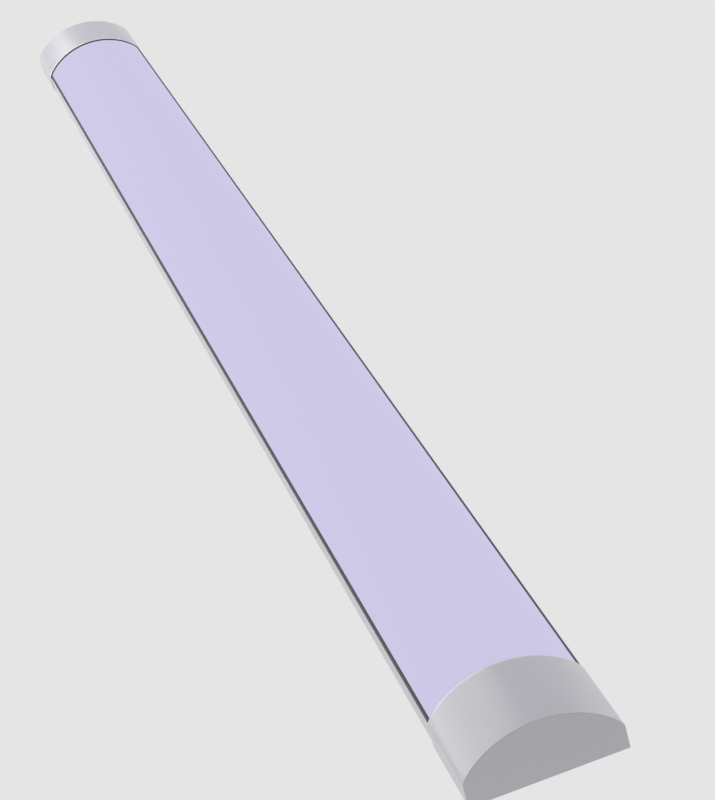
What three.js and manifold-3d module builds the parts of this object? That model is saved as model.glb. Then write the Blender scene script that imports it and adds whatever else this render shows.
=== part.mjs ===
// Linear LED batten: a domed opal light strip on a flat-backed aluminium profile.
// Millimetres. +X runs along the batten from the inlet end to the blind end, +Y across, +Z out of the
// flat back. The origin is the centre of the back face.
import * as THREE from 'three';
import { mergeVertices } from 'three/addons/utils/BufferGeometryUtils.js';
import Module from 'manifold-3d';

const wasm = await Module();
wasm.setup();

// ---------------------------------------------------------------- driving dimensions
const LENGTH = 1200;              // over both end caps
const WIDTH = 76.4;               // over the end caps
const HEIGHT = 30.5;              // back face to the crown of the end caps
const WALL_TOP = 11.8;            // where the straight side turns into the dome
const DOME_POWER = 1.52;          // fullness of the dome: 1 is an ellipse, 2 a parabola
const CAP_LENGTH = 56;
const FIT = 0.3;                  // clearance between neighbouring pieces

const CAP_WALL = 2;
const CAP_EDGE = 1.2;             // rounding of the rim round the end face
const CAP_PROUD = 1.1;            // how far the caps stand above the diffuser
const SPIGOT_LENGTH = 8;          // tongue of the cap that enters the diffuser
const SPIGOT_WALL = 1.2;
const SPIGOT_ANGLE = 42;          // degrees either side of the crown

const DIFFUSER_WALL = 1.8;
const DIFFUSER_END_GAP = 1.4;     // shadow gap to each cap
const DIFFUSER_EDGE_ANGLE = 74;   // degrees from the crown to the visible edge
const ARCH_SEAL = { inset: 1.25, depth: 1.6, thickness: 0.8 };
const FOOT = { inner: 32.6, outer: 34, hook: 35.4, hookTop: 9.6, bottom: 7.9 };

const SHEET = 1.6;                // wall of the extruded profile
const SIDE = 37.5;                // half width of the profile
const SIDE_TOP = 11.4;
const LIP = { tip: 34.3, under: 10 };
const CHANNEL = { half: 15, slotHalf: 11, lip: 1.2, roof: 3.6, top: 4.8, wall: 1.6 };
const RIB = { inner: 26, outer: 27.4, ledge: 24.4, top: 18.2 };
const LEDGE = { lowBottom: 14.4, lowTop: 15.6, highBottom: 17.2 };
const TONGUE_HALF = 24;           // half width of the profile inside the caps
const TONGUE_END_GAP = 0.5;       // from the tongue to the inside of the end face

const TRAY = { half: 25.7, bottom: 15.9, top: 16.9 };
const BOARD = { half: 11, thickness: 1.2, gap: 1 };
const LED = { count: 48, long: 3.5, wide: 2.8, tall: 0.8 };
const RIVET = { shank: 1.4, hole: 1.7, head: 2.6, y: 7.5, inset: 18 };

const SCREW = { shank: 1.4, hole: 1.7, head: 2.7, tip: 3.2 };
const ENTRY = { x: -584, hole: 5, bore: 3.2, body: 4.7, flange: 7 };
const TERMINAL = { x0: -572, x1: -550, halfY: 15, bottom: 5.1, top: 20, screwX: -561, pitch: 8.5 };
const BUTTON = { x: -566, long: 6, wide: 4, rise: 2.2, travel: 1.4, depth: 6 };
const EARTH = { x: -526, y: 21, hole: 2, shank: 1.7, head: 3.3 };

const DRIVER = { x0: -470, x1: -240, halfY: 21, bottom: 5.1, wall: 1, height: 7.5, tab: 10 };
const DRIVER_BOARD = { bottom: 7.5, top: 8.7 };
const LED_FEED = { holeX: -222, holeY: 17.5, holeRadius: 3.2 };
const FEED_CONNECTOR = { y0: 5.4, y1: 10.4, halfX: 3.6, tall: 3.6 };
const CLIP = { x: 350, half: 20, base: 9.2, web: 10.4, wing: 14.4, sheet: 1, top: 2.6, hole: 2.3 };

const WIRE_RADIUS = 0.9;
const WIRE_SIDES = 8;

const halfLength = LENGTH / 2;
const halfWidth = WIDTH / 2;
const capInner = halfLength - CAP_LENGTH;
const profileEnd = capInner - FIT;
const boardBottom = TRAY.top + FIT;
const boardTop = boardBottom + BOARD.thickness;
const poles = [-TERMINAL.pitch, 0, TERMINAL.pitch];
const partSeat = DRIVER_BOARD.top + FIT;          // underside of the parts on the driver board
const socketHeight = partSeat + 2.5;
const driverMiddle = (DRIVER.x0 + DRIVER.x1) / 2;
const driverInX = DRIVER.x0 + 9;
const driverOutX = DRIVER.x1 - 9;

// ---------------------------------------------------------------- colours and finishes
const finish = (color, roughness, metalness) =>
  new THREE.MeshStandardMaterial({ color, roughness, metalness });

const silverPaint = () => finish(0xcfcfd3, 0.45, 0.3);
const opal = () => finish(0xccc7e5, 0.3, 0);
const aluminium = () => finish(0xb9bbbe, 0.4, 0.9);
const whiteBoard = () => finish(0xf2f3ee, 0.5, 0);
const greenBoard = () => finish(0x2f6b45, 0.5, 0);
const whitePlastic = () => finish(0xe8e8e4, 0.5, 0);
const blackPlastic = () => finish(0x202124, 0.5, 0);
const orangePlastic = () => finish(0xd9762b, 0.45, 0);
const rubber = () => finish(0x2b2c2e, 0.8, 0);
const zinc = () => finish(0xa8abae, 0.35, 0.9);
const spring = () => finish(0xc2c4c6, 0.3, 0.95);
const yellowTape = () => finish(0xd8b93a, 0.5, 0);
const sleeve = (color) => finish(color, 0.55, 0);

// ---------------------------------------------------------------- shape helpers
// Turns an outline drawn in (y, z) and extruded in depth into a bar that runs along X.
const outlineToX = new THREE.Matrix4().makeBasis(
  new THREE.Vector3(0, 1, 0), new THREE.Vector3(0, 0, 1), new THREE.Vector3(1, 0, 0));

const outline = (points) => new THREE.Shape(points.map(([u, v]) => new THREE.Vector2(u, v)));

function barX(points, x0, x1) {
  const geometry = new THREE.ExtrudeGeometry(outline(points), { depth: x1 - x0, bevelEnabled: false });
  return geometry.applyMatrix4(outlineToX).translate(x0, 0, 0);
}

function block(x0, x1, y0, y1, z0, z1) {
  const geometry = new THREE.BoxGeometry(x1 - x0, y1 - y0, z1 - z0);
  return geometry.translate((x0 + x1) / 2, (y0 + y1) / 2, (z0 + z1) / 2);
}

function turnedZ(profile, x, y, sides = 20) {
  const points = profile.map(([radius, z]) => new THREE.Vector2(radius, z));
  return new THREE.LatheGeometry(points, sides).rotateX(Math.PI / 2).translate(x, y, 0);
}

const rodZ = (x, y, z0, z1, radius, sides = 20) =>
  turnedZ([[0, z0], [radius, z0], [radius, z1], [0, z1]], x, y, sides);

function solid(geometry) {
  const bare = geometry.clone();
  bare.deleteAttribute('normal');
  bare.deleteAttribute('uv');
  const merged = mergeVertices(bare, 1e-4);
  return new wasm.Manifold(new wasm.Mesh({
    numProp: 3,
    vertProperties: new Float32Array(merged.attributes.position.array),
    triVerts: new Uint32Array(merged.index.array),
  }));
}

function geometryOf(manifold) {
  const mesh = manifold.getMesh();
  const geometry = new THREE.BufferGeometry();
  geometry.setAttribute('position', new THREE.BufferAttribute(mesh.vertProperties, 3));
  geometry.setIndex(new THREE.BufferAttribute(mesh.triVerts, 1));
  return geometry;
}

function combine(base, { add = [], cut = [] }) {
  let result = solid(base);
  for (const geometry of add) result = result.add(solid(geometry));
  for (const geometry of cut) result = result.subtract(solid(geometry));
  return geometryOf(result);
}

const mirrored = (points) => points.map(([y, z]) => [-y, z]).reverse();

// ---------------------------------------------------------------- the dome
// A point of the dome's section, at an angle from the crown, moved inwards along the surface normal.
function domePoint(degrees, inset = 0) {
  const angle = THREE.MathUtils.degToRad(degrees);
  const rise = HEIGHT - WALL_TOP;
  const cosine = Math.max(Math.cos(angle), 0);
  const normal = new THREE.Vector2(
    DOME_POWER * rise * Math.sin(angle), halfWidth * cosine ** (2 - DOME_POWER)).normalize();
  return [
    halfWidth * Math.sin(angle) - inset * normal.x,
    WALL_TOP + rise * cosine ** DOME_POWER - inset * normal.y,
  ];
}

function domeArc(fromDegrees, toDegrees, inset, steps) {
  const points = [];
  for (let i = 0; i <= steps; i += 1) {
    points.push(domePoint(fromDegrees + (toDegrees - fromDegrees) * i / steps, inset));
  }
  return points;
}

function domeBand(angle, outerInset, innerInset, steps) {
  return [...domeArc(angle, -angle, outerInset, steps), ...domeArc(-angle, angle, innerInset, steps)];
}

const capOutline = () => [[-halfWidth, 0], [halfWidth, 0], ...domeArc(90, -90, 0, 36)];

function capCavityOutline() {
  const foot = halfWidth - CAP_WALL;
  return [[-foot, CAP_WALL], [foot, CAP_WALL], ...domeArc(88, -88, CAP_WALL, 30)];
}

// ---------------------------------------------------------------- shells
function baseHousing() {
  const corner = 0.7;
  const half = [
    [CHANNEL.slotHalf, 0], [SIDE - corner, 0], [SIDE, corner], [SIDE, SIDE_TOP - corner],
    [SIDE - corner, SIDE_TOP], [LIP.tip, SIDE_TOP], [LIP.tip, LIP.under],
    [SIDE - SHEET, LIP.under], [SIDE - SHEET, SHEET], [RIB.outer, SHEET], [RIB.outer, RIB.top],
    [RIB.ledge, RIB.top], [RIB.ledge, LEDGE.highBottom], [RIB.inner, LEDGE.highBottom],
    [RIB.inner, LEDGE.lowTop], [RIB.ledge, LEDGE.lowTop], [RIB.ledge, LEDGE.lowBottom],
    [RIB.inner, LEDGE.lowBottom], [RIB.inner, SHEET], [CHANNEL.half + CHANNEL.wall, SHEET],
    [CHANNEL.half + CHANNEL.wall, CHANNEL.top],
  ];
  const slot = [
    [-CHANNEL.slotHalf, CHANNEL.lip], [-CHANNEL.half, CHANNEL.lip], [-CHANNEL.half, CHANNEL.roof],
    [CHANNEL.half, CHANNEL.roof], [CHANNEL.half, CHANNEL.lip], [CHANNEL.slotHalf, CHANNEL.lip],
  ];
  const section = [...half, ...mirrored(half), ...slot];
  const tongueEnd = halfLength - CAP_WALL - TONGUE_END_GAP;
  const notches = [];
  for (const end of [-1, 1]) {
    for (const side of [-1, 1]) {
      const x = [end * profileEnd, end * (LENGTH / 2 + 5)].sort((a, b) => a - b);
      const y = [side * TONGUE_HALF, side * WIDTH].sort((a, b) => a - b);
      notches.push(block(x[0], x[1], y[0], y[1], -5, HEIGHT));
    }
  }
  const holes = [
    rodZ(ENTRY.x, 0, -1, 9, ENTRY.hole),
    rodZ(EARTH.x, EARTH.y, -1, 3, EARTH.hole),
    rodZ(TERMINAL.screwX, 0, 3, 6, SCREW.hole),
    rodZ(DRIVER.x0 - DRIVER.tab / 2, 0, 3, 6, SCREW.hole),
    rodZ(DRIVER.x1 + DRIVER.tab / 2, 0, 3, 6, SCREW.hole),
  ];
  return combine(barX(section, -tongueEnd, tongueEnd), { cut: [...notches, ...holes] });
}

function diffuser() {
  const edge = DIFFUSER_EDGE_ANGLE;
  const [, edgeHeight] = domePoint(edge, CAP_PROUD);
  const half = [
    [FOOT.outer, edgeHeight - 0.2], [FOOT.outer, FOOT.hookTop], [FOOT.hook, FOOT.hookTop],
    [FOOT.hook, FOOT.hookTop - 0.6], [FOOT.outer, FOOT.bottom], [FOOT.inner, FOOT.bottom],
  ];
  const inner = domeArc(-58, 58, CAP_PROUD + DIFFUSER_WALL, 28);
  const section = [
    ...domeArc(edge, -edge, CAP_PROUD, 36), ...mirrored([...half].reverse()), ...inner, ...[...half].reverse(),
  ];
  const end = capInner - DIFFUSER_END_GAP;
  return barX(section, -end, end);
}

// A soft seal on the lip of the profile, bulging into the gap under the diffuser's visible edge.
function sideSeal(side) {
  const bottom = SIDE_TOP + FIT;
  const section = [
    [LIP.tip + 0.1, bottom], [SIDE - 0.5, bottom], [SIDE - 0.1, bottom + 0.4], [SIDE + 0.1, bottom + 0.9],
    [SIDE - 0.2, bottom + 1.5], [SIDE - 0.9, bottom + 1.8], [SIDE - 2.2, bottom + 1.6],
    [LIP.tip + 0.1, bottom + 1.6],
  ];
  const end = capInner - DIFFUSER_END_GAP;
  return barX(side > 0 ? section : mirrored(section), -end, end);
}

// The arched seal that fills the gap between the diffuser's end and a cap.
function archSeal(end) {
  const { inset, depth, thickness } = ARCH_SEAL;
  const middle = end * (capInner - DIFFUSER_END_GAP / 2);
  return barX(domeBand(66, inset, inset + depth, 26), middle - thickness / 2, middle + thickness / 2);
}

// An end cap drawn at the blind end; the inlet cap is the same moulding turned round.
function endCap() {
  const body = new THREE.ExtrudeGeometry(outline(capOutline()), {
    depth: CAP_LENGTH - 2 * CAP_EDGE + 10, bevelThickness: CAP_EDGE, bevelSize: CAP_EDGE,
    bevelOffset: -CAP_EDGE, bevelSegments: 2,
  });
  body.applyMatrix4(outlineToX).translate(capInner - 10 + CAP_EDGE, 0, 0);
  const openEnd = block(capInner - 20, capInner, -WIDTH, WIDTH, -10, HEIGHT + 10);
  const cavity = barX(capCavityOutline(), capInner - 5, halfLength - CAP_WALL);
  const bottom = block(capInner - 5, halfLength - CAP_WALL, -TONGUE_HALF - FIT, TONGUE_HALF + FIT,
    -5, CAP_WALL + 1);
  const spigotOuter = CAP_PROUD + DIFFUSER_WALL + FIT;
  const spigotInner = spigotOuter + SPIGOT_WALL;
  const shell = combine(body, { cut: [openEnd, cavity, bottom] });
  const shoulder = barX(domeBand(SPIGOT_ANGLE, CAP_WALL / 2, spigotInner, 14), capInner + 0.01, capInner + 4);
  const spigot = barX(domeBand(SPIGOT_ANGLE, spigotOuter, spigotInner, 14),
    capInner - SPIGOT_LENGTH, capInner + 2);
  return combine(shell, { add: [shoulder, spigot] });
}

// ---------------------------------------------------------------- light engine
function gearTray() {
  const end = profileEnd - 0.7;
  const plate = block(-end, end, -TRAY.half, TRAY.half, TRAY.bottom, TRAY.top);
  const wireHole = rodZ(LED_FEED.holeX, LED_FEED.holeY, TRAY.bottom - 2, TRAY.top + 2, LED_FEED.holeRadius);
  const rivetHoles = rivetPlaces().map(([x, y]) =>
    rodZ(x, y, TRAY.bottom - 2, TRAY.top + 2, RIVET.hole, 12));
  return combine(plate, { cut: [wireHole, ...rivetHoles] });
}

const boardSpan = (side) => {
  const outer = profileEnd - 1.7;
  return side < 0 ? [-outer, -BOARD.gap / 2] : [BOARD.gap / 2, outer];
};

function ledBoard(side) {
  const [x0, x1] = boardSpan(side);
  const plate = block(x0, x1, -BOARD.half, BOARD.half, boardBottom, boardTop);
  const pitch = (x1 - x0) / LED.count;
  const leds = [];
  for (let i = 0; i < LED.count; i += 1) {
    const x = x0 + pitch * (i + 0.5);
    leds.push(block(x - LED.long / 2, x + LED.long / 2, -LED.wide / 2, LED.wide / 2,
      boardTop - 0.2, boardTop + LED.tall));
  }
  const holes = rivetPlaces().filter(([x]) => Math.sign(x) === side)
    .map(([x, y]) => rodZ(x, y, boardBottom - 2, boardTop + 2, RIVET.hole, 12));
  return combine(plate, { add: leds, cut: holes });
}

function rivetPlaces() {
  const places = [];
  for (const side of [-1, 1]) {
    const [x0, x1] = boardSpan(side);
    places.push([x0 + RIVET.inset, RIVET.y], [(x0 + x1) / 2, -RIVET.y], [x1 - RIVET.inset, RIVET.y]);
  }
  return places;
}

function rivet([x, y]) {
  const headBottom = boardTop + FIT;
  const tail = TRAY.bottom - 1.3;
  return turnedZ([
    [0, tail], [RIVET.shank + 0.8, tail], [RIVET.shank + 0.8, TRAY.bottom - FIT],
    [RIVET.shank, TRAY.bottom - FIT], [RIVET.shank, headBottom], [RIVET.head, headBottom],
    [RIVET.head * 0.8, headBottom + 0.7], [0, headBottom + 1],
  ], x, y, 12);
}

// ---------------------------------------------------------------- mains inlet
function entryGrommet() {
  const upper = CHANNEL.top + FIT;
  const lower = CHANNEL.roof - FIT;
  return turnedZ([
    [ENTRY.bore, lower - 1.2], [ENTRY.flange, lower - 1.2], [ENTRY.flange, lower], [ENTRY.body, lower],
    [ENTRY.body, upper], [ENTRY.flange, upper], [ENTRY.flange - 1.5, upper + 1.4],
    [ENTRY.bore, upper + 1.4], [ENTRY.bore, lower - 1.2],
  ], ENTRY.x, 0, 28);
}

function terminalBlock() {
  const { x0, x1, halfY, bottom, top } = TERMINAL;
  const body = barX([[-halfY, bottom], [halfY, bottom], [halfY, top - 3], [halfY - 2, top],
    [2 - halfY, top], [-halfY, top - 3]], x0, x1);
  const cuts = [];
  for (const y of poles) {
    cuts.push(block(x0 - 1, x0 + 9, y - 2, y + 2, 9, 13));
    cuts.push(block(x1 - 6, x1 + 1, y - 1.7, y + 1.7, 9, 12.4));
    cuts.push(block(BUTTON.x - BUTTON.long / 2 - FIT, BUTTON.x + BUTTON.long / 2 + FIT,
      y - BUTTON.wide / 2 - FIT, y + BUTTON.wide / 2 + FIT, top - BUTTON.depth - 0.4, top + 1));
  }
  cuts.push(rodZ(TERMINAL.screwX, 0, bottom - 1, 13.4, SCREW.hole));
  return combine(body, { cut: cuts });
}

function terminalButton(y) {
  const { long, wide, rise, travel, depth } = BUTTON;
  const top = TERMINAL.top + rise;
  const body = block(BUTTON.x - long / 2, BUTTON.x + long / 2, y - wide / 2, y + wide / 2,
    TERMINAL.top - depth + travel, top);
  const slot = block(BUTTON.x - 2, BUTTON.x + 2, y - 0.5, y + 0.5, top - 0.6, top + 1);
  return combine(body, { cut: [slot] });
}

// A cross-slotted pan head screw standing on a surface, its shank down in the profile's roof.
function panScrew(x, y, seat, tip) {
  const shape = turnedZ([
    [0, tip], [SCREW.shank * 0.5, tip], [SCREW.shank, tip + 0.5], [SCREW.shank, seat],
    [SCREW.head, seat], [SCREW.head, seat + 0.9], [SCREW.head * 0.7, seat + 1.7], [0, seat + 1.9],
  ], x, y, 16);
  const cross = [
    block(x - 1.6, x + 1.6, y - 0.3, y + 0.3, seat + 1.1, seat + 3),
    block(x - 0.3, x + 0.3, y - 1.6, y + 1.6, seat + 1.1, seat + 3),
  ];
  return combine(shape, { cut: cross });
}

function blockScrew() {
  return turnedZ([
    [0, SCREW.tip], [SCREW.shank * 0.5, SCREW.tip], [SCREW.shank, SCREW.tip + 0.5],
    [SCREW.shank, 13], [0, 13],
  ], TERMINAL.screwX, 0, 12);
}

function earthScrew() {
  const seat = SHEET + FIT + 0.8 + FIT;
  const shape = turnedZ([
    [0, 0.4], [EARTH.shank, 0.4], [EARTH.shank, seat], [EARTH.head, seat], [EARTH.head, seat + 1.4],
    [EARTH.head * 0.7, seat + 2.2], [0, seat + 2.2],
  ], EARTH.x, EARTH.y, 16);
  const slot = block(EARTH.x - 2.4, EARTH.x + 2.4, EARTH.y - 0.4, EARTH.y + 0.4, seat + 1.2, seat + 3);
  return combine(shape, { cut: [slot] });
}

function earthTag() {
  const bottom = SHEET + FIT;
  const top = bottom + 0.8;
  const ring = rodZ(EARTH.x, EARTH.y, bottom, top, 3.9);
  const neck = block(EARTH.x - 10, EARTH.x - 2.6, EARTH.y - 1.5, EARTH.y + 1.5, bottom, top);
  const barrel = block(EARTH.x - 13, EARTH.x - 8, EARTH.y - 1.9, EARTH.y + 1.9, bottom, bottom + 3.4);
  const hole = rodZ(EARTH.x, EARTH.y, bottom - 1, top + 3, EARTH.hole);
  const bore = block(EARTH.x - 14, EARTH.x - 8.8, EARTH.y - 1.3, EARTH.y + 1.3, bottom + 0.6, bottom + 2.9);
  return combine(ring, { add: [neck, barrel], cut: [hole, bore] });
}

// ---------------------------------------------------------------- driver
function driverCase() {
  const { x0, x1, halfY, bottom, wall, height, tab } = DRIVER;
  const section = [
    [-halfY, bottom], [halfY, bottom], [halfY, bottom + height], [halfY - wall, bottom + height],
    [halfY - wall, bottom + wall], [wall - halfY, bottom + wall], [wall - halfY, bottom + height],
    [-halfY, bottom + height],
  ];
  const tabs = block(x0 - tab, x1 + tab, -8, 8, bottom, bottom + wall);
  const posts = [];
  for (const x of [x0 + 12, x1 - 12]) {
    for (const y of [-17, 17]) posts.push(rodZ(x, y, bottom + 0.2, DRIVER_BOARD.bottom - FIT, 2.2, 10));
  }
  const holes = [x0 - tab / 2, x1 + tab / 2].map((x) => rodZ(x, 0, bottom - 1, bottom + 3, SCREW.hole));
  return combine(barX(section, x0, x1), { add: [tabs, ...posts], cut: holes });
}

function driverBoard() {
  const reach = DRIVER.halfY - DRIVER.wall - FIT;
  return block(DRIVER.x0 + 2, DRIVER.x1 - 2, -reach, reach, DRIVER_BOARD.bottom, DRIVER_BOARD.top);
}

function transformer() {
  const z = partSeat;
  const x = driverMiddle + 10;
  const core = combine(block(x - 13, x + 13, -10, 10, z, z + 5.6),
    { cut: [block(x - 8, x + 8, -11, -6, z - 1, z + 7), block(x - 8, x + 8, 6, 11, z - 1, z + 7)] });
  return combine(core, { add: [block(x - 7.4, x + 7.4, -9, 9, z + 0.8, z + 5.2)] });
}

function lyingCapacitor(x, y, radius, length) {
  const z = partSeat + radius;
  return new THREE.CylinderGeometry(radius, radius, length, 18).rotateZ(Math.PI / 2).translate(x, y, z);
}

function choke() {
  const z = partSeat;
  return turnedZ([[1.6, z], [5.4, z], [6, z + 0.6], [6, z + 4.4], [5.4, z + 5], [1.6, z + 5], [1.6, z]],
    driverMiddle - 60, -9, 20);
}

const raised = (x0, x1, y0, y1, height) =>
  block(x0, x1, y0, y1, partSeat, partSeat + height);

function socket(x, y, facing) {
  const z = partSeat;
  const body = block(x - 5, x + 5, y - 6, y + 6, z, z + 5.4);
  const mouths = [-2.8, 2.8].map((offset) => block(
    Math.min(x + facing * 1, x + facing * 6), Math.max(x + facing * 1, x + facing * 6),
    y + offset - 1.6, y + offset + 1.6, z + 0.9, z + 4.1));
  return combine(body, { cut: mouths });
}

// ---------------------------------------------------------------- wiring
function wire(points, radius = WIRE_RADIUS, steps = 28) {
  const path = new THREE.CatmullRomCurve3(points.map(([x, y, z]) => new THREE.Vector3(x, y, z)));
  const ring = new THREE.Shape();
  for (let i = 0; i < WIRE_SIDES; i += 1) {
    const angle = i * 2 * Math.PI / WIRE_SIDES;
    const place = [radius * Math.cos(angle), radius * Math.sin(angle)];
    if (i === 0) ring.moveTo(...place);
    else ring.lineTo(...place);
  }
  return new THREE.ExtrudeGeometry(ring, { steps, extrudePath: path });
}

function mainsWire(poleY, socketY) {
  const z = 10.7;
  const start = TERMINAL.x1 - 4.5;
  const end = driverInX - 3;
  return wire([
    [start, poleY, z], [start + 10, poleY, z], [start + 24, (2 * poleY + socketY) / 3, z + 0.4],
    [start + 40, (poleY + 3 * socketY) / 4, z + 0.8], [end - 24, socketY, socketHeight + 0.3],
    [end - 10, socketY, socketHeight], [end, socketY, socketHeight],
  ]);
}

function earthWire() {
  const start = TERMINAL.x1 - 4.5;
  const tagZ = SHEET + FIT + 1.75;
  const end = EARTH.x - 9.2;
  return wire([
    [start, TERMINAL.pitch, 10.7], [start + 6, TERMINAL.pitch + 0.5, 10.6], [start + 9.5, 12.5, 9.6],
    [end - 8.3, 17.5, 6.8], [end - 6.8, 20.4, 4.6], [end - 4, EARTH.y, tagZ], [end, EARTH.y, tagZ],
  ], WIRE_RADIUS, 24);
}

function ledFeed(offset, landing) {
  const start = driverOutX + 3;
  const { holeX, holeY } = LED_FEED;
  return wire([
    [start, offset * 2.8, socketHeight], [start + 7, offset * 2.6, socketHeight],
    [start + 14 - offset, 6 + offset * 1.4, socketHeight],
    [holeX - 3 - offset * 1.2, 13.6 + offset, socketHeight + 0.3],
    [holeX - offset * 1.3, holeY, 14.2], [holeX - offset * 1.3, holeY + 0.4, 18],
    [holeX - offset * 1.4, holeY - 1.5, 20.9], [holeX - offset * 1.4, landing + 4, 20.8],
    [holeX - offset * 1.4, landing, 20.5],
  ]);
}

function feedConnector() {
  const { y0, y1, halfX, tall } = FEED_CONNECTOR;
  const z = boardTop + FIT;
  const x = LED_FEED.holeX;
  const body = block(x - halfX, x + halfX, y0, y1, z, z + tall);
  const mouths = [-1.4, 1.4].map((offset) =>
    block(x + offset - 1.25, x + offset + 1.25, y0 + 1.2, y1 + 1, z + 0.6, z + 3.1));
  return combine(body, { cut: mouths });
}

function linkConnector(side) {
  const z = boardTop + FIT;
  const x = side * 9;
  const body = block(x - 3.5, x + 3.5, 3.4, 9.8, z, z + 3.2);
  const mouths = [5, 8.2].map((y) => block(
    Math.min(x - side * 1, x - side * 5), Math.max(x - side * 1, x - side * 5),
    y - 1.2, y + 1.2, z + 0.4, z + 2.8));
  return combine(body, { cut: mouths });
}

function linkWire(y) {
  const z = boardTop + FIT + 1.6;
  return wire([[-7, y, z], [-3.5, y, z + 0.1], [0, y, z + 1.2], [3.5, y, z + 0.1], [7, y, z]], 0.8, 12);
}

// A stuck-down saddle that keeps the two mains wires together on their way to the driver.
function wireSaddle() {
  const floor = CHANNEL.top + FIT;
  const body = block(-503, -496, -8, 8, floor, floor + 9.4);
  const passage = block(-504, -495, -5.6, 5.6, floor + 2.4, floor + 8.2);
  const mouth = block(-504, -495, -1, 1, floor + 4, floor + 10);
  return combine(body, { cut: [passage, mouth] });
}

// ---------------------------------------------------------------- mounting clips
function mountingClip(x) {
  const { half, base, web, wing, sheet, top, hole } = CLIP;
  const side = [[web, 0], [web, top - sheet], [wing, top - sheet], [wing, top], [base, top], [base, sheet]];
  const section = [...side, ...mirrored(side)];
  const holes = [-11, 11].map((offset) => rodZ(x + offset, 0, -1, 3, hole, 16));
  return combine(barX(section, x - half, x + half), { cut: holes });
}

// ---------------------------------------------------------------- assembly
const batten = new THREE.Group();

function place(name, geometry, material) {
  const mesh = new THREE.Mesh(geometry, material);
  mesh.name = name;
  batten.add(mesh);
  return mesh;
}

place('base_housing', baseHousing(), aluminium());
place('diffuser', diffuser(), opal());
place('side_seal_left', sideSeal(1), rubber());
place('side_seal_right', sideSeal(-1), rubber());
place('arch_seal_inlet', archSeal(-1), rubber());
place('arch_seal_blind', archSeal(1), rubber());
place('end_cap_blind', endCap(), silverPaint());
place('end_cap_inlet', endCap(), silverPaint()).rotation.z = Math.PI;

place('gear_tray', gearTray(), aluminium());
place('led_board_inlet', ledBoard(-1), whiteBoard());
place('led_board_blind', ledBoard(1), whiteBoard());
rivetPlaces().forEach((spot, i) => place(`led_board_rivet_${i + 1}`, rivet(spot), zinc()));

place('entry_grommet', entryGrommet(), rubber());
place('terminal_block', terminalBlock(), whitePlastic());
const poleNames = ['live', 'neutral', 'earth'];
poles.forEach((y, i) => place(`terminal_button_${poleNames[i]}`, terminalButton(y), orangePlastic()));
place('terminal_block_screw', blockScrew(), zinc());
place('earth_screw', earthScrew(), zinc());
place('earth_tag', earthTag(), zinc());

place('driver_case', driverCase(), whitePlastic());
const tabSeat = DRIVER.bottom + DRIVER.wall + FIT;
place('driver_screw_inlet', panScrew(DRIVER.x0 - DRIVER.tab / 2, 0, tabSeat, SCREW.tip), zinc());
place('driver_screw_output', panScrew(DRIVER.x1 + DRIVER.tab / 2, 0, tabSeat, SCREW.tip), zinc());
place('driver_board', driverBoard(), greenBoard());
place('driver_transformer', transformer(), yellowTape());
place('driver_choke', choke(), blackPlastic());
place('driver_fuse', raised(DRIVER.x0 + 22, DRIVER.x0 + 31, 8, 12, 4.5), blackPlastic());
place('driver_film_capacitor', raised(DRIVER.x0 + 24, DRIVER.x0 + 37, -14, -8, 5.4), yellowTape());
place('driver_bulk_capacitor', lyingCapacitor(driverMiddle - 30, 6, 2.75, 26), blackPlastic());
place('driver_output_capacitor', lyingCapacitor(driverMiddle + 50, -6, 2.6, 20), blackPlastic());
place('driver_switch_transistor', raised(driverMiddle - 22, driverMiddle - 12, -16, -11.6, 4.6), blackPlastic());
place('driver_input_socket', socket(driverInX, 0, -1), whitePlastic());
place('driver_output_socket', socket(driverOutX, 0, 1), whitePlastic());

place('wire_live', mainsWire(-TERMINAL.pitch, -2.8), sleeve(0x6b3d22));
place('wire_neutral', mainsWire(0, 2.8), sleeve(0x2c5fa8));
place('wire_earth', earthWire(), sleeve(0x7fa832));
place('wire_led_positive', ledFeed(1, FEED_CONNECTOR.y1 - 2.4), sleeve(0xb42a2a));
place('wire_led_negative', ledFeed(-1, FEED_CONNECTOR.y1 - 2.4), sleeve(0x222222));
place('wire_saddle', wireSaddle(), whitePlastic());
place('feed_connector', feedConnector(), whitePlastic());
place('link_connector_inlet', linkConnector(-1), whitePlastic());
place('link_connector_blind', linkConnector(1), whitePlastic());
place('link_wire_positive', linkWire(5), sleeve(0xb42a2a));
place('link_wire_negative', linkWire(8.2), sleeve(0x222222));

place('mounting_clip_inlet', mountingClip(-CLIP.x), spring());
place('mounting_clip_blind', mountingClip(CLIP.x), spring());

export default batten;
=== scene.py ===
"""The looks of the LED batten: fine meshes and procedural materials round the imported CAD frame."""

import math

import bmesh
import bpy
from mathutils import Matrix, Vector


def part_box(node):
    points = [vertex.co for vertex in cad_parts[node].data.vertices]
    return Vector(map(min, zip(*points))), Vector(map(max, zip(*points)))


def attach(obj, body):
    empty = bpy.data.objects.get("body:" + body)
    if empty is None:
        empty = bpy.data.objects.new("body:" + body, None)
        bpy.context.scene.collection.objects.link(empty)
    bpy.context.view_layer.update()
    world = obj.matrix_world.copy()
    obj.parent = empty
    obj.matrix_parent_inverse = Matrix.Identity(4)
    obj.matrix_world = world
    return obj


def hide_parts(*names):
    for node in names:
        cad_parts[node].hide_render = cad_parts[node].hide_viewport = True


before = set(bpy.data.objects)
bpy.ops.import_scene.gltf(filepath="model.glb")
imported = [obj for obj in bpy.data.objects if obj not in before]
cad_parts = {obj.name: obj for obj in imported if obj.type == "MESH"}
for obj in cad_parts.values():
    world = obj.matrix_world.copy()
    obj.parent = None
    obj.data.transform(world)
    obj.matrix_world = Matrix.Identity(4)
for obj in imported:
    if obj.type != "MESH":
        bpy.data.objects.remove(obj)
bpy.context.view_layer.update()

MM = 0.001

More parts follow.
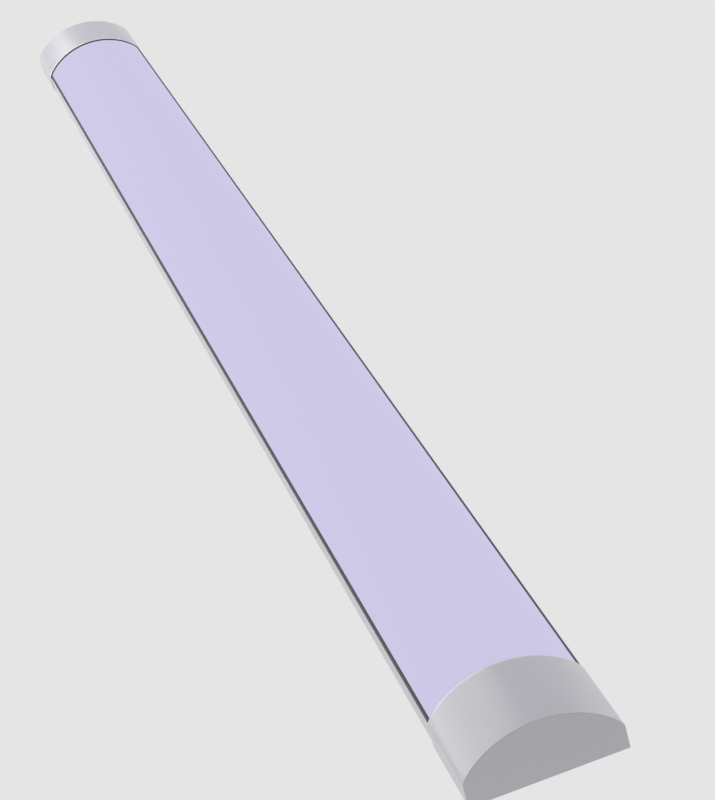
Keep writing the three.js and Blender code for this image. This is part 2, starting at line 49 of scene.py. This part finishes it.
# ------------------------------------------------------------------ sizes, from the frame
cap_low, cap_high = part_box("end_cap_blind")
base_low, base_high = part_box("base_housing")
cover_low, cover_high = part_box("diffuser")

HALF_WIDTH = cap_high.y
HEIGHT = cap_high.z
CAP_OUTER = cap_high.x
SPIGOT_LENGTH = 8 * MM
CAP_INNER = cap_low.x + SPIGOT_LENGTH
WALL_TOP = 11.8 * MM               # where the straight side turns into the dome
DOME_POWER = 1.52                  # how full the dome's shoulders are

CAP_WALL = 2 * MM
CAP_PROUD = 1.1 * MM               # how far the caps stand out from the diffuser
CAP_CORNER = 0.5 * MM              # the rounding along the cap's bottom edges
CAP_FOOT_LIFT = 0.3 * MM           # the most that the end roundings lift the bottom
CAP_NOSE = 0.4 * MM                # the rounding of the cap's closed end
RIM_LONG, RIM_DROP = 3.2 * MM, 0.55 * MM   # the soft rounding of the cap's open end
RIM_SHADE_FACE = 0.3 * MM                # how much of the rim's end face is painted dark, as painted shade in the joint
RIM_HIGHLIGHT_SHARE = 0.6               # the share of the rim's rounding painted in a lighter cap colour, as a painted highlight
SPIGOT_WALL = 1.2 * MM
SPIGOT_ANGLE = 42                  # degrees from the crown, as are the angles below

COVER_WALL = 1.8 * MM
COVER_EDGE_ANGLE = 75.5            # the diffuser's visible edge
COVER_INSIDE_ANGLE = 58            # where the dome's inside meets the foot
SEAL_ANGLE = 66
SEAL_OUTSIDE, SEAL_INSIDE = 1.25 * MM, 2.85 * MM   # the arch seal's insets from the dome

FIT = 0.3 * MM
TONGUE_HALF = 24 * MM
PROFILE_END = CAP_INNER - FIT
GROMMET_HOLE, EARTH_HOLE, SCREW_HOLE = 5, 2, 1.7   # radii, in millimetres


# ------------------------------------------------------------------ section helpers
def dome_point(degrees, inset=0.0):
    """A point (y, z) of the dome's section, at an angle from the crown, moved in by inset."""
    angle = math.radians(degrees)
    rise = HEIGHT - WALL_TOP
    cosine = max(math.cos(angle), 0.0)
    normal = Vector((DOME_POWER * rise * math.sin(angle),
                     HALF_WIDTH * cosine ** (2 - DOME_POWER)))
    normal.normalize()
    return (HALF_WIDTH * math.sin(angle) - inset * normal.x,
            WALL_TOP + rise * cosine ** DOME_POWER - inset * normal.y)


def dome_arc(first, last, inset, steps):
    return [dome_point(first + (last - first) * i / steps, inset) for i in range(steps + 1)]


def rounded(corners, steps=5):
    """Turns (y, z, radius) corners into an outline whose corners are arcs. Sizes in millimetres."""
    outline = []
    for i, (y, z, radius) in enumerate(corners):
        here = Vector((y, z))
        if radius == 0:
            outline.append(here)
            continue
        before = (Vector(corners[i - 1][:2]) - here).normalized()
        after = (Vector(corners[(i + 1) % len(corners)][:2]) - here).normalized()
        half = before.angle(after) / 2
        reach = radius / math.tan(half)
        centre = here + (before + after).normalized() * (radius / math.sin(half))
        start, end = here + before * reach - centre, here + after * reach - centre
        turn = start.angle_signed(end)
        for k in range(steps + 1):
            part = -turn * k / steps
            cosine, sine = math.cos(part), math.sin(part)
            outline.append(centre + Vector((start.x * cosine - start.y * sine,
                                            start.x * sine + start.y * cosine)))
    return [(p.x * MM, p.y * MM) for p in outline]


def both_sides(half):
    """A half outline given for +y, with its mirror image."""
    return half + [(-y, z, r) for y, z, r in reversed(half)]


# ------------------------------------------------------------------ mesh helpers
def new_object(name, mesh):
    obj = bpy.data.objects.new(name, mesh)
    bpy.context.scene.collection.objects.link(obj)
    return obj


def ringed(name, rings):
    """A closed solid through rings of the same number of points, with flat ends."""
    mesh = bpy.data.meshes.new(name)
    shape = bmesh.new()
    loops = [[shape.verts.new(point) for point in ring] for ring in rings]
    count = len(loops[0])
    for low, high in zip(loops, loops[1:]):
        for i in range(count):
            j = (i + 1) % count
            shape.faces.new((low[i], low[j], high[j], high[i]))
    shape.faces.new(list(reversed(loops[0])))
    shape.faces.new(loops[-1])
    bmesh.ops.recalc_face_normals(shape, faces=shape.faces)
    shape.to_mesh(mesh)
    shape.free()
    return new_object(name, mesh)


def prism(name, section, x0, x1):
    return ringed(name, [[(x, y, z) for y, z in section] for x in (x0, x1)])


def turned(name, profile, x, y, sides=64):
    """A solid turned about a vertical axis. The profile is a closed outline in millimetres."""
    mesh = bpy.data.meshes.new(name)
    shape = bmesh.new()
    rings = []
    for i in range(sides):
        turn = 2 * math.pi * i / sides
        cosine, sine = math.cos(turn), math.sin(turn)
        rings.append([shape.verts.new((x + r * MM * cosine, y + r * MM * sine, z * MM))
                      for r, z in profile])
    for i in range(sides):
        here, after = rings[i], rings[(i + 1) % sides]
        for k in range(len(profile)):
            n = (k + 1) % len(profile)
            shape.faces.new((here[k], here[n], after[n], after[k]))
    bmesh.ops.remove_doubles(shape, verts=shape.verts, dist=1e-7)
    bmesh.ops.recalc_face_normals(shape, faces=shape.faces)
    shape.to_mesh(mesh)
    shape.free()
    return new_object(name, mesh)


def block(name, low, high):
    corners = [(low[0], y, z) for y, z in ((low[1], low[2]), (high[1], low[2]), (high[1], high[2]),
                                           (low[1], high[2]))]
    return ringed(name, [corners, [(high[0], y, z) for _, y, z in corners]])


def settle(obj):
    """Applies an object's modifiers to its mesh."""
    graph = bpy.context.evaluated_depsgraph_get()
    mesh = bpy.data.meshes.new_from_object(obj.evaluated_get(graph))
    obj.modifiers.clear()
    obj.data = mesh
    return obj


def combine(obj, others, operation):
    for other in others:
        step = obj.modifiers.new(operation.lower(), "BOOLEAN")
        step.operation = operation
        step.solver = "EXACT"
        step.object = other
        settle(obj)
        bpy.data.objects.remove(other)
    return obj


def soften(obj, width, segments=3, angle=35):
    """Rounds the sharp edges and smooths the shading between them."""
    mesh = obj.data
    mesh.polygons.foreach_set("use_smooth", [True] * len(mesh.polygons))
    mesh.set_sharp_from_angle(angle=math.radians(angle))
    edge = obj.modifiers.new("soft_edges", "BEVEL")
    edge.width = width
    edge.segments = segments
    edge.limit_method = "ANGLE"
    edge.angle_limit = math.radians(angle)
    edge.harden_normals = True
    edge.use_clamp_overlap = True
    return obj


# ------------------------------------------------------------------ materials
def linear(red, green, blue):
    """A display colour, 0 to 255, as the linear colour that a shader takes."""
    def channel(value):
        share = value / 255
        return share / 12.92 if share <= 0.04045 else ((share + 0.055) / 1.055) ** 2.4
    return (channel(red), channel(green), channel(blue), 1.0)


def shaded(color, factor):
    return tuple(min(c * factor, 1.0) for c in color[:3]) + (1.0,)


def surface(name, color, roughness, grain=2500.0, bump=0.02, mottle=0.03, stretch=(1, 1, 1),
            metallic=0.0, specular=0.5, coat=0.0, rough_spread=0.06):
    """A material with a fine surface grain, a slight colour mottle and an uneven roughness."""
    material = bpy.data.materials.new(name)
    material.use_nodes = True
    nodes, links = material.node_tree.nodes, material.node_tree.links
    shader = nodes["Principled BSDF"]
    shader.inputs["Metallic"].default_value = metallic
    shader.inputs["Specular IOR Level"].default_value = specular
    shader.inputs["Coat Weight"].default_value = coat
    place = nodes.new("ShaderNodeTexCoord")
    scale = nodes.new("ShaderNodeMapping")
    scale.inputs["Scale"].default_value = stretch
    links.new(place.outputs["Object"], scale.inputs["Vector"])

    cloud = nodes.new("ShaderNodeTexNoise")
    cloud.inputs["Scale"].default_value = 60
    cloud.inputs["Detail"].default_value = 5
    links.new(scale.outputs["Vector"], cloud.inputs["Vector"])
    tone = nodes.new("ShaderNodeValToRGB")
    tone.color_ramp.elements[0].position = 0.3
    tone.color_ramp.elements[1].position = 0.7
    tone.color_ramp.elements[0].color = shaded(color, 1 - mottle)
    tone.color_ramp.elements[1].color = shaded(color, 1 + mottle)
    links.new(cloud.outputs["Fac"], tone.inputs["Fac"])
    links.new(tone.outputs["Color"], shader.inputs["Base Color"])

    fine = nodes.new("ShaderNodeTexNoise")
    fine.inputs["Scale"].default_value = grain
    fine.inputs["Detail"].default_value = 3
    links.new(scale.outputs["Vector"], fine.inputs["Vector"])
    gloss = nodes.new("ShaderNodeMapRange")
    gloss.inputs["To Min"].default_value = roughness - rough_spread
    gloss.inputs["To Max"].default_value = roughness + rough_spread
    links.new(fine.outputs["Fac"], gloss.inputs["Value"])
    links.new(gloss.outputs["Result"], shader.inputs["Roughness"])
    relief = nodes.new("ShaderNodeBump")
    relief.inputs["Strength"].default_value = 0.5
    relief.inputs["Distance"].default_value = bump * MM
    links.new(fine.outputs["Fac"], relief.inputs["Height"])
    links.new(relief.outputs["Normal"], shader.inputs["Normal"])
    return material


OPAL_GLOW = 0.965


def opal_material():
    """Opal plastic, lit from inside: it glows evenly and reflects very little."""
    color = linear(204, 199, 229)
    material = surface("opal_skin", shaded(color, 0.03), 0.6, grain=1800, bump=0.004, mottle=0.01,
                       specular=0.04)
    shader = material.node_tree.nodes["Principled BSDF"]
    shader.inputs["Emission Color"].default_value = color
    shader.inputs["Emission Strength"].default_value = OPAL_GLOW
    return material


materials = {
    "housing": surface("housing_paint", linear(205, 205, 210), 0.42, grain=1400, bump=0.02,
                       stretch=(0.25, 1, 1)),
    "opal": opal_material(),
    "cap": surface("cap_moulding", linear(200, 199, 205), 0.3, grain=2200, bump=0.004, mottle=0.008,
                   rough_spread=0.03),
    # painted highlight: a lighter, glossier cap colour for the edge of the cap's open end
    "cap_edge": surface("painted_cap_highlight", linear(222, 221, 227), 0.2, grain=2200, bump=0.002,
                        mottle=0.008, rough_spread=0.03),
    "aluminium": surface("mill_aluminium", linear(196, 198, 200), 0.34, grain=900, bump=0.01,
                         stretch=(0.05, 1, 1), metallic=1.0),
    "white_board": surface("white_solder_mask", linear(240, 241, 236), 0.45, bump=0.005),
    "zinc": surface("zinc_plate", linear(190, 193, 196), 0.3, grain=1500, bump=0.01, metallic=1.0),
    "rubber": surface("moulded_rubber", linear(82, 82, 87), 0.72, grain=1800, bump=0.03),
    "white_plastic": surface("white_moulding", linear(232, 232, 226), 0.45, grain=1800),
    "orange_plastic": surface("orange_moulding", linear(217, 112, 40), 0.38, grain=1800),
    "board": surface("green_solder_mask", linear(38, 98, 62), 0.35, grain=1200, bump=0.01),
    "tape": surface("yellow_tape", linear(214, 182, 56), 0.3, grain=700, bump=0.02, coat=0.3),
    "black_plastic": surface("black_moulding", linear(30, 31, 34), 0.42, grain=1500, bump=0.02),
    "steel": surface("rolled_stainless", linear(200, 202, 205), 0.26, grain=800, bump=0.01,
                     stretch=(0.06, 1, 1), metallic=1.0),
    "brown": surface("brown_sleeve", linear(96, 54, 30), 0.4, bump=0.01),
    "blue": surface("blue_sleeve", linear(38, 88, 168), 0.4, bump=0.01),
    "green": surface("earth_sleeve", linear(126, 168, 52), 0.4, bump=0.01),
    "red": surface("red_sleeve", linear(180, 40, 40), 0.4, bump=0.01),
    "black": surface("black_sleeve", linear(28, 28, 30), 0.4, bump=0.01),
}


def dress(piece, material, body, slot, *nodes):
    """Gives a new piece its material, its body and the CAD nodes that it stands for."""
    piece.data.materials.clear()
    piece.data.materials.append(materials[material])
    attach(piece, body)
    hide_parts(*nodes)
    return piece


# ------------------------------------------------------------------ end caps
def cap_ring(x, inset):
    """One ring of the cap's outside, at x, drawn in from its full size by inset."""
    bottom = min(inset, CAP_FOOT_LIFT)
    half = HALF_WIDTH - inset
    right = []
    for k in range(5):
        turn = math.radians(90 * k / 4)
        right.append((half - CAP_CORNER + CAP_CORNER * math.sin(turn),
                      bottom + CAP_CORNER - CAP_CORNER * math.cos(turn)))
    left = [(-y, z) for y, z in reversed(right)]
    dome = [(max(-half, min(half, y)), max(z, WALL_TOP)) for y, z in dome_arc(90, -90, inset, 120)]
    return [(x, y, z) for y, z in right + dome + left]


def cap_moulding(name):
    """The blind cap. Turned half round it is the inlet cap."""
    steps = 10
    quarter = [math.radians(90 * k / steps) for k in range(steps + 1)]
    rings = [cap_ring(CAP_INNER + RIM_LONG * (1 - math.cos(a)), RIM_DROP * (1 - math.sin(a)))
             for a in quarter]
    rings += [cap_ring(CAP_OUTER - CAP_NOSE * (1 - math.sin(a)), CAP_NOSE * (1 - math.cos(a)))
              for a in quarter]
    cap = ringed(name, rings)
    foot = HALF_WIDTH - CAP_WALL
    cavity = [(-foot, CAP_WALL), (foot, CAP_WALL)] + dome_arc(88, -88, CAP_WALL, 100)
    reach = 5 * MM
    slot_half = TONGUE_HALF + FIT
    combine(cap, [
        prism("cavity", cavity, CAP_INNER - reach, CAP_OUTER - CAP_WALL),
        block("slot", (CAP_INNER - reach, -slot_half, -reach),
              (CAP_OUTER - CAP_WALL, slot_half, CAP_WALL + MM)),
    ], "DIFFERENCE")
    spigot_outer = CAP_PROUD + COVER_WALL + FIT
    spigot_inner = spigot_outer + SPIGOT_WALL
    inside = dome_arc(-SPIGOT_ANGLE, SPIGOT_ANGLE, spigot_inner, 40)
    combine(cap, [
        prism("shoulder", dome_arc(SPIGOT_ANGLE, -SPIGOT_ANGLE, CAP_WALL / 2, 40) + inside,
              CAP_INNER + 0.1 * MM, CAP_INNER + 4 * MM),
        prism("spigot", dome_arc(SPIGOT_ANGLE, -SPIGOT_ANGLE, spigot_outer, 40) + inside,
              CAP_INNER - SPIGOT_LENGTH, CAP_INNER + 2 * MM),
    ], "UNION")
    return soften(cap, 0.18 * MM)


def paint_rim_highlight_and_shade(cap):
    """Paints a highlight on the open end's edge in a lighter, glossier cap colour, and paints the
    rim's end face in the dark rubber colour as painted shade in the joint.
    """
    cap.data.materials.append(materials["rubber"])
    cap.data.materials.append(materials["cap_edge"])
    for face in cap.data.polygons:
        if face.center.z < WALL_TOP or face.normal.z < -0.01:
            continue
        steep, sloping = face.normal.x < -0.6, face.normal.x < -0.05
        # painted shade: the rim's end face gets the dark rubber colour, standing in for shade in the
        # gap
        if steep and face.center.x < CAP_INNER + RIM_SHADE_FACE:
            face.material_index = 1
        # painted highlight: the sloping edge of the rim's rounding gets the lighter cap colour
        elif sloping and face.center.x < CAP_INNER + RIM_HIGHLIGHT_SHARE * RIM_LONG:
            face.material_index = 2


for place, end in (("blind", 1), ("inlet", -1)):
    cap = dress(cap_moulding(f"{place}_cap_moulding"), "cap", f"{place}_cap", "cap_silver",
                f"end_cap_{place}")
    paint_rim_highlight_and_shade(cap)
    if end < 0:
        cap.data.transform(Matrix.Rotation(math.pi, 4, "Z"))


# ------------------------------------------------------------------ diffuser
def diffuser_shell():
    inner, outer, hook, hook_top, bottom = 32.6 * MM, 34 * MM, 35.4 * MM, 9.6 * MM, 7.9 * MM
    _, edge_height = dome_point(COVER_EDGE_ANGLE, CAP_PROUD)
    foot = [(inner, bottom), (outer, bottom), (hook, hook_top - 0.6 * MM), (hook, hook_top),
            (outer, hook_top), (outer, edge_height - 0.2 * MM)]
    section = foot + dome_arc(COVER_EDGE_ANGLE, -COVER_EDGE_ANGLE, CAP_PROUD, 140)
    section += [(-y, z) for y, z in reversed(foot)]
    section += dome_arc(-COVER_INSIDE_ANGLE, COVER_INSIDE_ANGLE, CAP_PROUD + COVER_WALL, 100)
    return soften(prism("diffuser_shell", section, cover_low.x, cover_high.x), 0.25 * MM)


dress(diffuser_shell(), "opal", "batten", "opal_diffuser", "diffuser")


# ------------------------------------------------------------------ seals
def side_bead(name, side):
    """The soft bead on the profile's lip, under the diffuser's visible edge."""
    section = rounded([(34.4, 11.7, 0.2), (37.4, 11.7, 0.5), (37.6, 12.4, 0.6), (36.8, 13.1, 0.5),
                       (34.4, 12.9, 0.2)], 6)
    bead = prism(name, [(side * y, z) for y, z in section], cover_low.x, cover_high.x)
    return soften(bead, 0.05 * MM, 1)


for place, side in (("left", 1), ("right", -1)):
    dress(side_bead(f"{place}_seal_bead", side), "rubber", "batten", "black_rubber",
          f"side_seal_{place}")

for place in ("inlet", "blind"):
    low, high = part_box(f"arch_seal_{place}")
    arch = dome_arc(SEAL_ANGLE, -SEAL_ANGLE, SEAL_OUTSIDE, 100)
    arch += dome_arc(-SEAL_ANGLE, SEAL_ANGLE, SEAL_INSIDE, 100)
    dress(soften(prism(f"{place}_arch_bead", arch, low.x, high.x), 0.15 * MM, 2), "rubber",
          "batten", "black_rubber", f"arch_seal_{place}")


# ------------------------------------------------------------------ housing
def housing_profile():
    half = [
        (11, 0, 0.3), (37.5, 0, 0.7), (37.5, 11.4, 0.7), (34.3, 11.4, 0.3), (34.3, 10, 0.3),
        (35.9, 10, 0.2), (35.9, 1.6, 0.5), (27.4, 1.6, 0.4), (27.4, 18.2, 0.3), (24.4, 18.2, 0.3),
        (24.4, 17.2, 0.2), (26, 17.2, 0.2), (26, 15.6, 0.2), (24.4, 15.6, 0.2), (24.4, 14.4, 0.3),
        (26, 14.4, 0.3), (26, 1.6, 0.4), (16.6, 1.6, 0.4), (16.6, 4.8, 0.4),
    ]
    slot = [(-11, 1.2, 0.2), (-15, 1.2, 0.2), (-15, 3.6, 0.3), (15, 3.6, 0.3), (15, 1.2, 0.2),
            (11, 1.2, 0.2)]
    housing = prism("housing_profile", rounded(both_sides(half) + slot, 4), base_low.x, base_high.x)
    cutters = []
    far = CAP_OUTER + 5 * MM
    for end in (-1, 1):
        for side in (-1, 1):
            xs = sorted((end * PROFILE_END, end * far))
            ys = sorted((side * TONGUE_HALF, side * HALF_WIDTH * 2))
            cutters.append(block("notch", (xs[0], ys[0], -5 * MM), (xs[1], ys[1], HEIGHT)))
    grommet_low, grommet_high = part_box("entry_grommet")
    earth_low, earth_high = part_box("earth_screw")
    holes = [((grommet_low + grommet_high) / 2, GROMMET_HOLE),
             ((earth_low + earth_high) / 2, EARTH_HOLE)]
    for screw in ("terminal_block_screw", "driver_screw_inlet", "driver_screw_output"):
        low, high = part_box(screw)
        holes.append(((low + high) / 2, SCREW_HOLE))
    for centre, radius in holes:
        top = 9 if radius == GROMMET_HOLE else 6
        cutters.append(turned("hole", [(0, -1), (radius, -1), (radius, top), (0, top)],
                              centre.x, centre.y, 40))
    combine(housing, cutters, "DIFFERENCE")
    return soften(housing, 0.12 * MM, 2)


dress(housing_profile(), "housing", "batten", "housing_paint", "base_housing")


# ------------------------------------------------------------------ mounting clips
def clip_strip(name, centre):
    side = [(10.4, 0, 0.9), (10.4, 1.6, 0.3), (14.4, 1.6, 0.3), (14.4, 2.6, 0.3), (9.2, 2.6, 1.2),
            (9.2, 1, 0.3)]
    half_length, hole_offset = 20 * MM, 11 * MM
    clip = prism(name, rounded(both_sides(side), 5), centre - half_length, centre + half_length)
    countersunk = [(0, -1), (2.3, -1), (2.3, 0.3), (3.2, 1.2), (0, 1.2)]
    holes = [turned("hole", countersunk, centre + offset, 0, 48)
             for offset in (-hole_offset, hole_offset)]
    combine(clip, holes, "DIFFERENCE")
    return soften(clip, 0.12 * MM, 2)


for place in ("inlet", "blind"):
    low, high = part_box(f"mounting_clip_{place}")
    dress(clip_strip(f"{place}_clip_strip", (low.x + high.x) / 2), "steel", f"{place}_clip",
          "spring_steel", f"mounting_clip_{place}")


# ------------------------------------------------------------------ carried-over CAD nodes
finishes = {
    "aluminium": ["gear_tray"],
    "white_board": ["led_board_inlet", "led_board_blind"],
    "zinc": [f"led_board_rivet_{i}" for i in range(1, 7)] + [
        "terminal_block_screw", "earth_screw", "earth_tag", "driver_screw_inlet",
        "driver_screw_output"],
    "rubber": ["entry_grommet"],
    "white_plastic": ["terminal_block", "driver_case", "driver_input_socket",
                      "driver_output_socket", "wire_saddle", "feed_connector",
                      "link_connector_inlet", "link_connector_blind"],
    "orange_plastic": [f"terminal_button_{pole}" for pole in ("live", "neutral", "earth")],
    "board": ["driver_board"],
    "tape": ["driver_transformer", "driver_film_capacitor"],
    "black_plastic": ["driver_choke", "driver_fuse", "driver_bulk_capacitor",
                      "driver_output_capacitor", "driver_switch_transistor"],
    "brown": ["wire_live"],
    "blue": ["wire_neutral"],
    "green": ["wire_earth"],
    "red": ["wire_led_positive", "link_wire_positive"],
    "black": ["wire_led_negative", "link_wire_negative"],
}


def carry_over(node, material):
    """Keeps a CAD node, with its material and softened edges."""
    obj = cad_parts[node]
    obj.data.materials[0] = materials[material]
    weld = obj.modifiers.new("weld", "WELD")
    weld.merge_threshold = 0.01 * MM
    edge = obj.modifiers.new("soft_edges", "BEVEL")
    edge.width = 0.12 * MM
    edge.segments = 2
    edge.limit_method = "ANGLE"
    edge.angle_limit = math.radians(40)


for material, node_names in finishes.items():
    for node in node_names:
        carry_over(node, material)


# ------------------------------------------------------------------ floor, light and camera
def glow(name, color, strength):
    material = bpy.data.materials.new(name)
    material.use_nodes = True
    shader = material.node_tree.nodes["Principled BSDF"]
    shader.inputs["Base Color"].default_value = (0, 0, 0, 1)
    shader.inputs["Specular IOR Level"].default_value = 0
    shader.inputs["Emission Color"].default_value = color
    shader.inputs["Emission Strength"].default_value = strength
    return material


BACKDROP = linear(229, 229, 229)
STUDIO_GREY = (0.445, 0.446, 0.462, 1)

FLOOR_REACH = 30
floor = block("floor", (-FLOOR_REACH, -FLOOR_REACH, -0.01), (FLOOR_REACH, FLOOR_REACH, -0.0001))
floor.data.materials.append(glow("pale_floor", BACKDROP, 1.0))

world = bpy.data.worlds.new("studio")
bpy.context.scene.world = world
world.use_nodes = True
world.node_tree.nodes["Background"].inputs["Color"].default_value = STUDIO_GREY
world.node_tree.nodes["Background"].inputs["Strength"].default_value = 1.0


def softbox(name, place, target, size, power):
    data = bpy.data.lights.new(name, "AREA")
    data.shape = "RECTANGLE"
    data.size, data.size_y = size
    data.energy = power
    light = bpy.data.objects.new(name, data)
    light.location = place
    light.rotation_euler = (Vector(target) - Vector(place)).to_track_quat("-Z", "Y").to_euler()
    bpy.context.scene.collection.objects.link(light)


softbox("left_softbox", (1.3, 1.3, 1.15), (-0.4, 0, 0.1), (3.3, 1.6), 30)
softbox("right_softbox", (0.6, -2.2, 0.9), (0, 0, 0), (2.2, 1.4), 23)
softbox("overhead_softbox", (0.7, 0, 2.6), (0.7, 0, 0), (2.4, 1.2), 5)
softbox("low_softbox", (1.2, 1.15, 0.17), (-0.57, 0.03, 0.02), (1.2, 0.32), 3.2)

CAMERA_PLACE = Vector((-1.5718, 0.18, 0.6783))
CAMERA_TARGET = Vector((-0.2125, -0.0205, 0.0153))
CAMERA_ROLL = math.radians(-15.74)
CAMERA_LENS = 122.05

camera_data = bpy.data.cameras.new("camera")
camera_data.lens = CAMERA_LENS
camera_data.sensor_width = 36
camera_data.clip_start, camera_data.clip_end = 0.01, 100
camera = bpy.data.objects.new("camera", camera_data)
bpy.context.scene.collection.objects.link(camera)
look = (CAMERA_TARGET - CAMERA_PLACE).to_track_quat("-Z", "Y")
camera.rotation_mode = "QUATERNION"
camera.location = CAMERA_PLACE
camera.rotation_quaternion = look @ Matrix.Rotation(CAMERA_ROLL, 3, "Z").to_quaternion()
bpy.context.scene.camera = camera
bpy.context.scene.view_settings.view_transform = "Standard"
